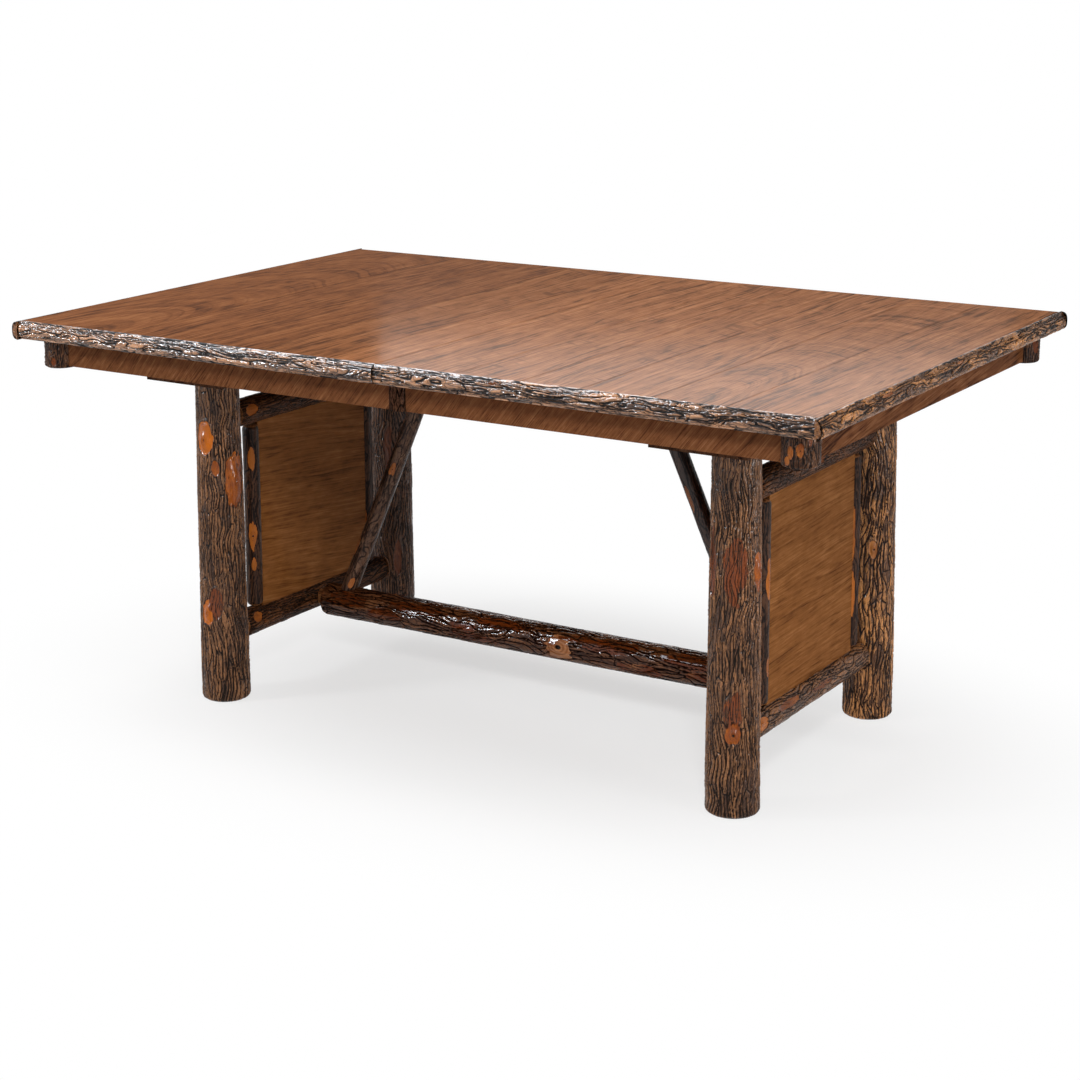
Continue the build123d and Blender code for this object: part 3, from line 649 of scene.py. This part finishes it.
# End panels: flat stained boards let into the crossbars, with near-level grain that wanders a
# little. The board keeps its sawn shape and takes a satin finish.
def stained_board(
    name, grain_axis, across_axis, tones, seed, slant=0.0, pith=(0.0, 0.05), tilt=0.12, curl=0.0,
    contrast=1.0, seam=None, sheen=0.08, fineness=1.5,
):
    """A stained board: growth bands cut by its face, streaks, pores and soft blotches.

    The bands follow the distance from a pith line that runs along the grain, pith away across the
    board and below it, and tilts in by so much for each metre, which draws the arches of a
    flat-sawn board. slant turns the grain in the board's face. curl adds dark ripples across the
    grain, in patches. seam is a place across the board with a dark joint, and how dark it is.
    tones are the dark, middle and light colours, sheen is the weight of the clear coat, and
    fineness multiplies how many bands, streaks and blotches fit in."""
    finish = Finish(bpy.data.materials.new(name))
    third_axis = next(letter for letter in "XYZ" if letter not in (grain_axis, across_axis))
    where = finish.node("ShaderNodeTexCoord", {}, {}, "Object")
    split = {letter: finish.node("ShaderNodeSeparateXYZ", {}, {0: where}, letter) for letter in "XYZ"}
    cos, sin = math.cos(slant), math.sin(slant)
    along = split[grain_axis] * cos + split[across_axis] * sin
    across = split[across_axis] * cos - split[grain_axis] * sin
    depth = split[third_axis]

    def grain_noise(first, second, third, detail):
        """Noise from 0 to 1 about 0.5 at three coordinates, with a feature for each whole number."""
        vector = finish.node("ShaderNodeCombineXYZ", {}, {0: first, 1: second, 2: third})
        return finish.node("ShaderNodeTexNoise", {}, {"Vector": vector, "Scale": 1.0, "Detail": detail})

    shift = 3.7 * seed
    wander = grain_noise(along * 1.8 + shift, across * 8, depth * 8, 2.0)
    ripple = grain_noise(along * 11 + shift, across * 45, depth * 45, 2.0)
    from_pith = across - pith[0] + (wander - 0.5) * 0.10 + (ripple - 0.5) * 0.006
    below = along * tilt + pith[1]
    square = from_pith * from_pith + below * below
    distance = finish.node("ShaderNodeMath", {"operation": "SQRT"}, {0: square})
    band = grain_noise(distance * (70 * fineness) + shift, along * 1.3, depth * 0, 3.0)
    late = grain_noise(distance * (150 * fineness) + shift, along * 0.8, depth * 0, 1.0)
    late = finish.ease(late, 0.52, 0.68)
    across_fine, depth_fine = across * fineness, depth * fineness
    streak = grain_noise(along * 11 + shift, across_fine * 180, depth_fine * 180, 4.0)
    blotch = grain_noise(along * (5 * fineness) + shift, across_fine * 12, depth_fine * 12, 4.0)
    mottle = grain_noise(along * (18 * fineness) + shift, across_fine * 45, depth_fine * 45, 3.0)
    figure = (band - 0.5) * 0.9 + (streak - 0.5) * 1.1 + (blotch - 0.5) * 0.6 + (mottle - 0.5) * 0.6
    lightness = 0.56 + (figure - late * 0.20) * contrast
    dark, middle, light = tones
    colour = finish.blend(finish.ease(lightness, 0.15, 0.56), dark, middle)
    colour = finish.blend(finish.ease(lightness, 0.50, 0.95), colour, light)
    pore = finish.ease(grain_noise(along * 40 + shift, across * 800, depth * 800, 2.0), 0.60, 0.72)
    colour = finish.blend(pore * 0.5, colour, dark)
    if curl:
        patch = finish.ease(grain_noise(along * 3.5 + shift, across * 9, depth * 0, 1.0), 0.46, 0.60)
        waves = grain_noise(along * 62 + across * 28 + shift, across * 14 - along * 8, depth * 0, 2.0)
        colour = finish.blend(patch * finish.ease(waves, 0.50, 0.72) * (0.7 * curl), colour, dark)
    if seam:
        place, darkness = seam
        beside = finish.node("ShaderNodeMath", {"operation": "ABSOLUTE"}, {0: across - place})
        near = 1 - finish.ease(beside, 0.001, 0.006)
        ragged = finish.ease(grain_noise(along * 9 + shift, across * 0, depth * 0, 2.0), 0.38, 0.62)
        colour = finish.blend(near * ragged * darkness, colour, (0.02, 0.008, 0.004))
    roughness = 0.48 + (streak - 0.5) * 0.12 + pore * 0.1
    return finish.cover(colour, roughness, streak - pore * 0.6, 0.15, 0.0006, 0.0, sheen, 0.14)


def dress(node, material):
    """Gives its finish to a piece that keeps its sawn or turned shape."""
    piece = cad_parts[node]
    piece.data.materials.clear()
    piece.data.materials.append(material)


panel_tones = ((0.085, 0.029, 0.007), (0.225, 0.084, 0.023), (0.340, 0.145, 0.048))
for node, seed, slant in (("left_end_panel", 2, -6), ("right_end_panel", 5, 2)):
    dress(node, stained_board(
        f"{node}_stain", "Y", "Z", panel_tones, seed, math.radians(slant), (-0.6, 0.1), 0.1,
        contrast=0.8, sheen=0.05, fineness=1.8,
    ))


# Top plates and bearer: flat stained boards, their colour darkened further as painted shade, as
# they sit in shadow under the top. A plate is screwed down on the leg tops of each trestle, and the
# bearer is lapped into both plates and carries the pin of the pinion.
shaded_plate_tones = ((0.025, 0.009, 0.004), (0.070, 0.028, 0.012), (0.120, 0.054, 0.026))
for node, grain_axis, across_axis in (
    ("left_top_plate", "Y", "X"), ("right_top_plate", "Y", "X"), ("centre_bearer", "X", "Y"),
):
    dress(node, stained_board(f"{node}_stain", grain_axis, across_axis, shaded_plate_tones, 7))


# Slides and equalizer: unstained maple rails, runners, racks and pinion that nobody sees with the
# top closed, and the zinc plated steel of the pin and the lag screws.
maple_tones = ((0.34, 0.20, 0.10), (0.52, 0.35, 0.20), (0.66, 0.48, 0.30))
maple = stained_board("bare_maple", "X", "Y", maple_tones, 3, contrast=0.6, sheen=0.03)
for node in (
    "front_slide_rail", "back_slide_rail", "left_runners", "right_runners", "left_rack_bar",
    "right_rack_bar", "equalizer_pinion", "alignment_dowels",
):
    dress(node, maple)
zinc = Finish(bpy.data.materials.new("zinc_plated_steel"))
brushed = zinc.noise((900.0, 900.0, 60.0), 2.0)
dulled = zinc.blend(brushed, (0.42, 0.42, 0.43), (0.62, 0.62, 0.60))
zinc_material = zinc.cover(dulled, 0.30 + brushed * 0.2, brushed, 0.1, 0.0003)
zinc.tree.nodes["Principled BSDF"].inputs["Metallic"].default_value = 1.0
for node in ("frame_screws", "pinion_pin"):
    dress(node, zinc_material)


# Aprons: smooth stained boards on edge under the top, housed in the corner posts. The grain runs
# at a steep slant on the front and back ones and nearly level on the end ones.
apron_tones = ((0.040, 0.014, 0.006), (0.150, 0.056, 0.022), (0.270, 0.115, 0.050))
for seed, node in enumerate((
    "left_front_apron", "right_front_apron", "left_back_apron", "right_back_apron",
)):
    dress(node, stained_board(
        f"{node}_stain", "X", "Z", apron_tones, seed + 1, math.radians(50), (3.0, 0.05), 0.2,
        contrast=0.7, sheen=0.05, fineness=4.0,
    ))
for seed, node in enumerate(("left_end_apron", "right_end_apron")):
    dress(node, stained_board(
        f"{node}_stain", "Y", "Z", apron_tones, seed + 6, math.radians(8), (0.2, 0.05), 0.2, sheen=0.05
    ))


# Corner posts: short upright lengths of dark log with the bark left on, one under each corner of
# the top. The ends of the aprons are housed in them.
post_round = 0.006
post_top_round = 0.0005
post_pitch = 0.0015
post_around = 128
post_seed = 171
post_style = (0.0068, 0.040, 0.0018, 0.0004)
post_bark = bark_finish(
    "post_bark", "Z", (0.0070, 0.030), (0.005, 0.002, 0.001), (0.026, 0.009, 0.004), (0.125, 0.052, 0.022),
    (0.380, 0.120, 0.020), (0.150, 0.036, 0.008), varnish=(0.08, 0.1),
)
post_patches = {
    "left_front_corner_post": ((232, 0.030, 0.006, 0.026, 0, 0.8), (285, 0.014, 0.006, 0.009, 0, 0.7)),
    "right_front_corner_post": (
        (250, 0.012, 0.005, 0.007, 0, 0.3),
        (262, 0.026, 0.005, 0.010, 0, 0.5),
        (292, 0.030, 0.006, 0.011, 0.005, 0.45),
        (322, 0.046, 0.004, 0.010, 0, 0.6),
    ),
    "left_back_corner_post": ((100, 0.030, 0.010, 0.018, 0.006, 0.3),),
    "right_back_corner_post": ((340, 0.030, 0.009, 0.016, 0, 0.7), (60, 0.036, 0.009, 0.014, 0, 0.3)),
}
for number, (node, patches) in enumerate(post_patches.items()):
    low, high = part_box(node)
    x, y, post_radius = (low.x + high.x) / 2, (low.y + high.y) / 2, (high.x - low.x) / 2
    body = node.split("_")[0] + "_top"
    outline = rounded_ends(
        high.z - low.z, post_radius, post_radius, post_round, post_top_round, post_pitch
    )
    piece = log(
        f"{node}_bark", (x, y, low.z), (x, y, high.z), outline, (post_radius, post_radius), post_around,
        (*post_style, post_seed + seed_step * number), patches,
    )
    piece.data.materials.append(post_bark)
    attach(piece, body)
    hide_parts(node)


# Bark trim: half-round slabs of bark-on sapling nailed round the edge of the top, thick plated
# bark with deep cracks. The end ones run through and the front and back ones butt against them.
trim_style = (0.0095, 0.095, 0.0032, 0.0)
trim_bulge_points = 56
trim_back_points = 8
trim_cap_scales = (0.05, 0.5, 0.95)
trim_edge_fade = 3.2
trim_squareness = 1.35
trim_pitch = 0.0016
trim_seed = 211


def half_log(name, start, end, out, half_width, depth, style, patches, pitch, square):
    """Half-round strip from start to end: half an ellipse facing out, with a flat back.

    The bark's height moves each point of the bulge in towards the strip's middle line, and fades
    at the two edges of the flat back. square above 1 fills the ellipse out to a boxier curve.
    Each end is closed by smaller and smaller copies of the section, which show sawn wood."""
    start, end, out = np.array(start, float), np.array(end, float), np.array(out, float)
    length = np.linalg.norm(end - start)
    axis = (end - start) / length
    up = np.cross(axis, out)
    around = trim_bulge_points + trim_back_points
    angle = np.linspace(-math.pi / 2, math.pi / 2, trim_bulge_points)
    wide = np.sign(np.sin(angle)) * np.abs(np.sin(angle)) ** (1 / square)
    bulge = np.cos(angle) ** (1 / square)
    back = np.linspace(1, -1, trim_back_points + 2)[1:-1]
    wide, bulge = np.concatenate([wide, back]), np.concatenate([bulge, np.zeros(trim_back_points)])
    rows = round(length / pitch) + 1
    caps = len(trim_cap_scales)
    scale = np.concatenate([trim_cap_scales, np.ones(rows), trim_cap_scales[::-1]])
    along = np.concatenate([np.zeros(caps), np.linspace(0, length, rows), np.full(caps, length)])
    turn, place = np.meshgrid(np.arange(around) / around, along)
    section = np.stack([wide * half_width, bulge * depth])
    girth = np.hypot(*(section - np.roll(section, 1, 1))).sum()
    height, marks = bark(turn, place, girth, *style, patches)
    exposed = smooth(np.concatenate([np.cos(angle) * trim_edge_fade, np.zeros(trim_back_points)]))
    end_cap = (scale < 1)[:, None] * np.ones(around)
    height = height * exposed * (1 - end_cap)
    size = scale[:, None] * (1 + height / depth)
    rings = start + place[..., None] * axis + (size * wide * half_width)[..., None] * up
    rings = rings + (size * bulge * depth)[..., None] * out
    marks["sawn"] = end_cap
    return sleeve(name, rings, marks)


trim_bark = bark_finish(
    "plated_trim_bark", "X", (0.0090, 0.085), (0.004, 0.002, 0.001), (0.055, 0.021, 0.009),
    (0.550, 0.260, 0.120), (0.400, 0.150, 0.050), (0.170, 0.050, 0.014), (0.28, 0.82), 0.6, (0.1, 0.9),
)
end_trim_bark = bark_finish(
    "end_trim_bark", "Y", (0.0070, 0.030), (0.004, 0.002, 0.001), (0.090, 0.031, 0.008),
    (0.540, 0.225, 0.066), (0.440, 0.170, 0.060), (0.200, 0.060, 0.018), (0.30, 0.85), 0.5, (0.1, 0.2),
)
trims = (
    ("left_front_trim", (0, -1, 0), ((90, 0.560, 0.006, 0.014, 0.006, 0.8),)),
    ("right_front_trim", (0, -1, 0), ((80, 0.240, 0.008, 0.012, 0.006, 0.6),)),
    ("left_back_trim", (0, 1, 0), ((80, 0.400, 0.008, 0.020, 0.004, 0.5),)),
    ("right_back_trim", (0, 1, 0), ((80, 0.300, 0.008, 0.020, 0.004, 0.5),)),
    ("left_end_trim", (-1, 0, 0), ((80, 0.300, 0.008, 0.020, 0.004, 0.5),)),
    ("right_end_trim", (1, 0, 0), ((90, 0.250, 0.006, 0.020, 0, 0.5), (80, 0.560, 0.007, 0.016, 0.004, 0.4))),
)
for number, (node, out, patches) in enumerate(trims):
    low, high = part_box(node)
    middle_z, half_width = (low.z + high.z) / 2, (high.z - low.z) / 2
    if out[1]:
        inner_y = high.y if out[1] < 0 else low.y
        start, end, depth = (low.x, inner_y, middle_z), (high.x, inner_y, middle_z), high.y - low.y
    else:
        inner_x = high.x if out[0] < 0 else low.x
        start, end, depth = (inner_x, low.y, middle_z), (inner_x, high.y, middle_z), high.x - low.x
    piece = half_log(
        f"{node}_bark", start, end, out, half_width, depth,
        (*trim_style, trim_seed + seed_step * number), patches, trim_pitch, trim_squareness,
    )
    piece.data.materials.append(trim_bark if out[1] else end_trim_bark)
    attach(piece, node.split("_")[0] + "_top")
    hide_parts(node)


# Joint blocks: short half-round pieces of dark bark-on sapling that stand against the aprons and
# cover the place where the two halves of the table meet.
block_squareness = 1.2
block_pitch = 0.0013
block_seed = 281
block_style = (0.0080, 0.030, 0.0014, 0.0)
block_bark = bark_finish(
    "block_bark", "Z", (0.0070, 0.030), (0.005, 0.002, 0.001), (0.034, 0.014, 0.007), (0.150, 0.062, 0.032),
    (0.380, 0.120, 0.030), (0.200, 0.060, 0.018), (0.3, 1.1), 0.6, (0.0, 0.1),
)
blocks = (("left_joint_block", (0, 1, 0)), ("right_joint_block", (0, -1, 0)))
for number, (node, out) in enumerate(blocks):
    low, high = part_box(node)
    middle_x, inner_y = (low.x + high.x) / 2, high.y if out[1] < 0 else low.y
    piece = half_log(
        f"{node}_bark", (middle_x, inner_y, low.z), (middle_x, inner_y, high.z), out,
        (high.x - low.x) / 2, high.y - low.y, (*block_style, block_seed + seed_step * number), (),
        block_pitch, block_squareness,
    )
    piece.data.materials.append(block_bark)
    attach(piece, node.split("_")[0] + "_top")
    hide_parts(node)


# Top: planks laid across the table, each with its own cut of grain, stained walnut brown with a
# satin finish. Some are flat-sawn with arches, some plain, and some curly with dark ripples.
warm = ((0.080, 0.024, 0.005), (0.240, 0.078, 0.021), (0.360, 0.138, 0.045))
brown = ((0.095, 0.030, 0.007), (0.290, 0.100, 0.029), (0.420, 0.165, 0.058))
plain = ((0.125, 0.042, 0.011), (0.370, 0.134, 0.043), (0.520, 0.210, 0.080))
boards = (
    ("left_board_5", warm, -0.64, 0.20, 0.22, 0.0, 0.85, None),
    ("left_board_4", warm, -0.20, 0.05, 0.02, 0.0, 1.0, (-0.560, 0.9)),
    ("left_board_3", warm, -0.60, 0.04, 0.04, 0.2, 1.0, (-0.404, 0.5)),
    # left_board_2 has the darker brown tones: partly its own tone and partly painted shade, which darkens the
    # far middle of the top.
    ("left_board_2", brown, 0.10, 0.05, 0.02, 0.9, 1.0, (-0.252, 0.6)),
    ("left_board_1", plain, 0.30, 0.05, 0.02, 0.2, 0.9, (-0.099, 0.7)),
    ("right_board_1", plain, 0.40, 0.05, 0.04, 0.6, 1.0, (0.001, 0.5)),
    ("right_board_2", plain, -0.10, 0.04, 0.03, 0.9, 1.0, (0.164, 0.5)),
    ("right_board_3", plain, 0.90, 0.04, 0.03, 0.9, 1.0, (0.400, 0.7)),
    ("right_board_4", plain, 0.20, 0.05, 0.06, 0.4, 1.0, (0.529, 0.5)),
    ("right_board_5", plain, 0.60, 0.16, 0.30, 0.0, 0.95, (0.658, 0.5)),
    ("right_board_6", plain, 0.20, 0.05, 0.06, 0.9, 1.0, None),
)
for seed, (node, tones, pith_x, pith_depth, tilt, curl, contrast, seam) in enumerate(boards):
    dress(node, stained_board(
        f"{node}_stain", "Y", "X", tones, seed + 11, 0.0, (pith_x, pith_depth), tilt, curl, contrast, seam
    ))


# Studio: a pale floor that goes over to the white backdrop away from the table, soft lamps above
# it and on all sides, some of them seen in the varnish alone, and a white world.
floor_side = 120
floor_drop = 0.0003
floor_glow = 0.59
white_from, white_to = 0.35, 1.4
world_light = 0.34
bpy.ops.mesh.primitive_plane_add(size=floor_side)
floor = bpy.context.object
floor.name = "studio_floor"
floor.location.z = -floor_drop
ground = Finish(bpy.data.materials.new("studio_floor"))
where = ground.node("ShaderNodeTexCoord", {}, {}, "Object")
reach = ground.node("ShaderNodeVectorMath", {"operation": "MULTIPLY"}, {0: where, 1: (1.05, 1.6, 0)})
distance = ground.node("ShaderNodeVectorMath", {"operation": "LENGTH"}, {0: reach}, "Value")
white = ground.node("ShaderNodeEmission", {}, {"Color": (1, 1, 1, 1), "Strength": 1.0})
matte = ground.node("ShaderNodeBsdfDiffuse", {}, {"Color": (0.95, 0.95, 0.95, 1)})
share = ground.seen() * (floor_glow + ground.ease(distance, white_from, white_to) * (1 - floor_glow))
mixed = ground.node("ShaderNodeMixShader", {}, {0: share, 1: matte, 2: white})
ground.node("ShaderNodeOutputMaterial", {}, {"Surface": mixed})
floor.data.materials.append(ground.owner)


def soft_lamp(name, place, aim, width, height, power, lights=True, colour=(1, 1, 1)):
    """A rectangular area lamp at a place, turned to face the aim, that the camera doesn't see. One
    that doesn't light is seen in the varnish alone."""
    lamp = bpy.data.lights.new(name, "AREA")
    lamp.shape = "RECTANGLE"
    lamp.size = width
    lamp.size_y = height
    lamp.energy = power
    lamp.color = colour
    holder = bpy.data.objects.new(name, lamp)
    holder.location = place
    holder.rotation_euler = (Vector(aim) - Vector(place)).to_track_quat("-Z", "Y").to_euler()
    holder.visible_camera = False
    holder.visible_diffuse = lights
    bpy.context.scene.collection.objects.link(holder)


soft_lamp("overhead_softbox", (-1.2, -0.5, 3.2), (0, 0, 0.7), 0.8, 0.8, 26)
soft_lamp("key_softbox", (2.2, -3.4, 2.9), (0, 0, 0.4), 0.7, 0.7, 78)
soft_lamp("fill_softbox", (-2.8, -2.8, 2.4), (0, 0, 0.4), 0.7, 0.7, 40)
soft_lamp("right_softbox", (3.0, -0.65, 0.44), (0.5, 0, 0.4), 0.6, 0.6, 20)
soft_lamp("sheen_panel", (-1.1, 2.67, 1.65), (0.3, -0.5, 0.76), 2.0, 0.5, 27, lights=False)
soft_lamp("trim_panel", (-1.4, -1.1, 2.75), (0, -0.5, 0.7), 3.4, 1.0, 190, False, (0.80, 0.90, 1.0))
soft_lamp("left_glint", (-2.4, -2.9, 1.4), (0, 0, 0.4), 0.3, 1.0, 110, False, (0.80, 0.90, 1.0))
soft_lamp("right_glint", (2.6, -2.6, 3.0), (0, 0, 0.4), 0.5, 0.5, 140, False, (0.90, 0.95, 1.0))

sky = Finish(bpy.data.worlds.new("studio_world"))
bpy.context.scene.world = sky.owner
strength = world_light + sky.seen() * (1 - world_light)
backdrop = sky.node("ShaderNodeBackground", {}, {"Color": (1, 1, 1, 1), "Strength": strength})
sky.node("ShaderNodeOutputWorld", {}, {"Surface": backdrop})


# Camera: a long lens out from the table's right front corner and about twice as high as the top,
# with its frame shifted off the lens's middle as in a crop.
picture_side = 1080
sensor = 36.0
focal_pixels = 2275.9
centre_x, centre_y = 500.0, 360.0
camera_place = (2.2022, -3.5742, 1.5026)
camera_yaw, camera_pitch, camera_roll = (math.radians(a) for a in (-32.703, 11.104, -0.368))
lens = bpy.data.cameras.new("camera")
lens.sensor_width = sensor
lens.lens = sensor * focal_pixels / picture_side
lens.shift_x = (picture_side / 2 - centre_x) / picture_side
lens.shift_y = (centre_y - picture_side / 2) / picture_side
camera = bpy.data.objects.new("camera", lens)
bearing = Euler((math.pi / 2 - camera_pitch, 0, -camera_yaw)).to_matrix().to_4x4()
roll = Matrix.Rotation(camera_roll, 4, "Z")
camera.matrix_world = Matrix.Translation(camera_place) @ bearing @ roll
bpy.context.scene.collection.objects.link(camera)
bpy.context.scene.camera = camera
bpy.context.scene.view_settings.view_transform = "Standard"
